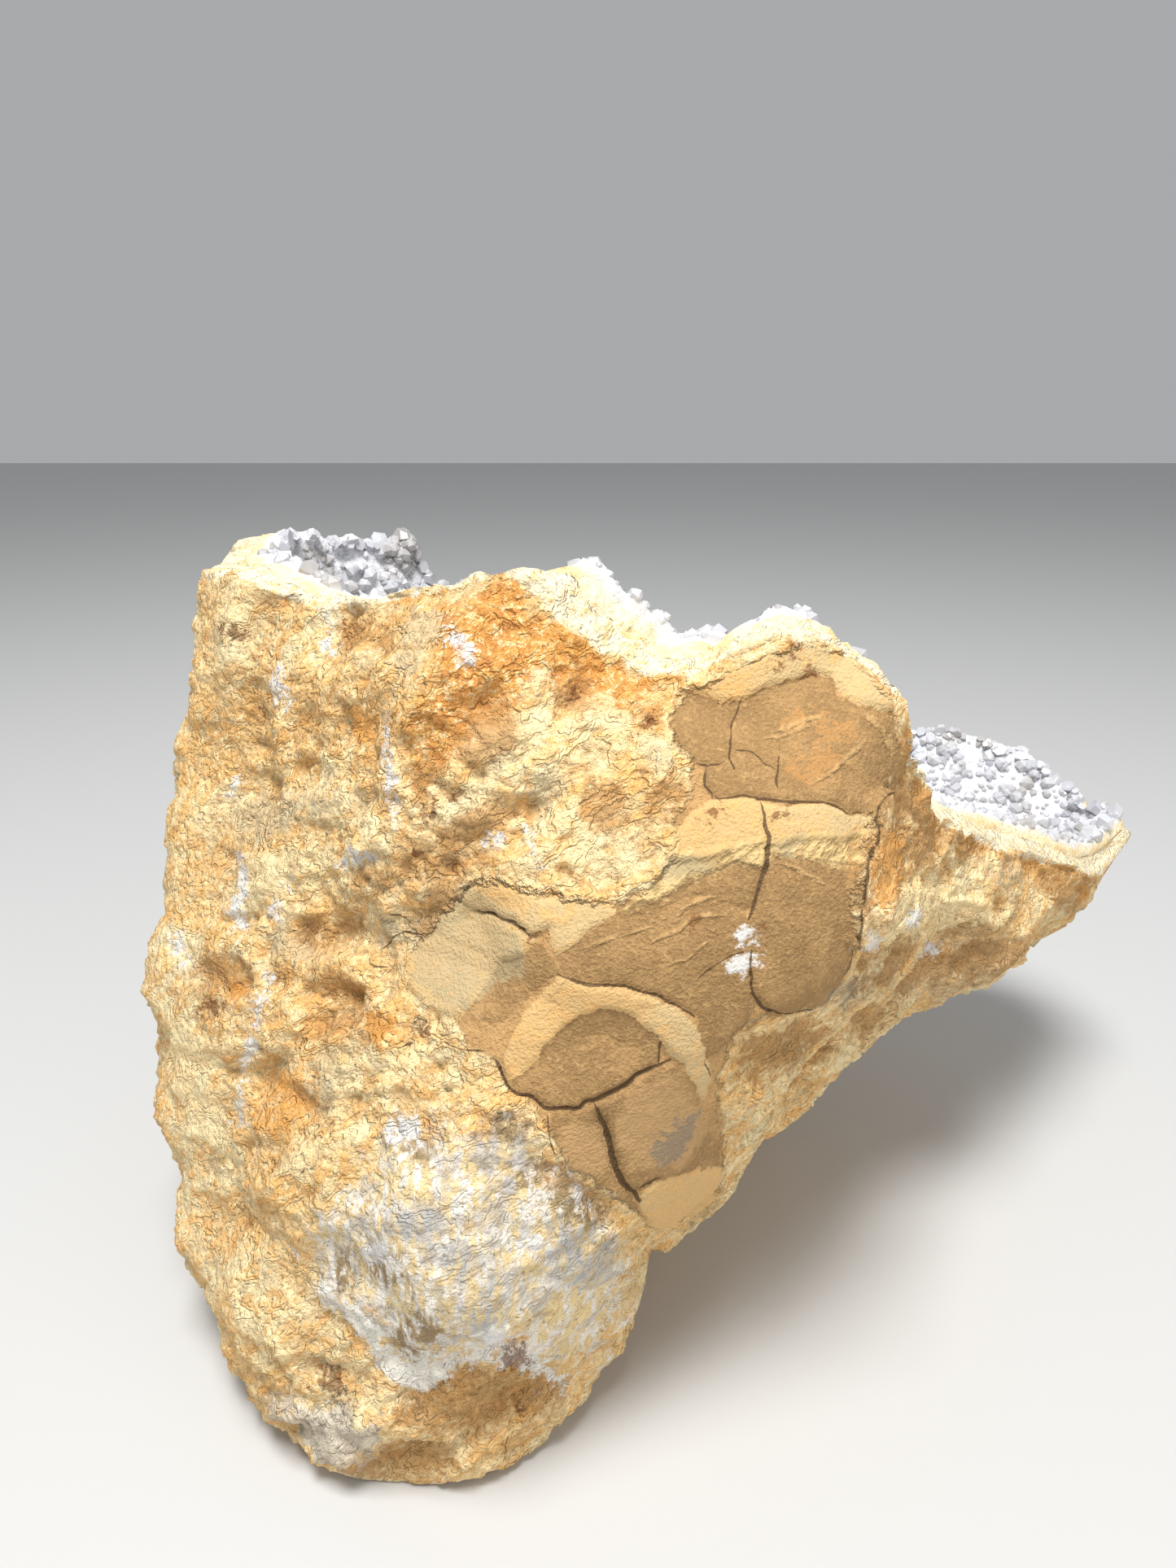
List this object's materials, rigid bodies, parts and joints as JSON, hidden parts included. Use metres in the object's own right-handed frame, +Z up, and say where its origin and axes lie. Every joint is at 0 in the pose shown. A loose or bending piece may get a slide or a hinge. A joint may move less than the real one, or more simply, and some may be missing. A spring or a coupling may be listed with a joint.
{
  "type": "geode",
  "caption": "Broken half of a geode: cracked ochre rock standing on a small flat foot, its open top lined with a crust of small pale crystals.",
  "frame": {"origin": "on the plane the stone stands on, under the middle of its bounding box", "axes": "+Z up; +X towards the tip of the long wing, along the stone's longest extent; the cracked clay skin faces -Y"},
  "size_m": [0.1686, 0.1217, 0.1151],
  "materials": {
    "rock": "matt, weathered and clayey",
    "crystal": "glassy crystal faces over a matt cream layer"
  },
  "bodies": {
    "root": {"rind": "rock", "crystal_crust": "crystal"}
  },
  "joints": []
}
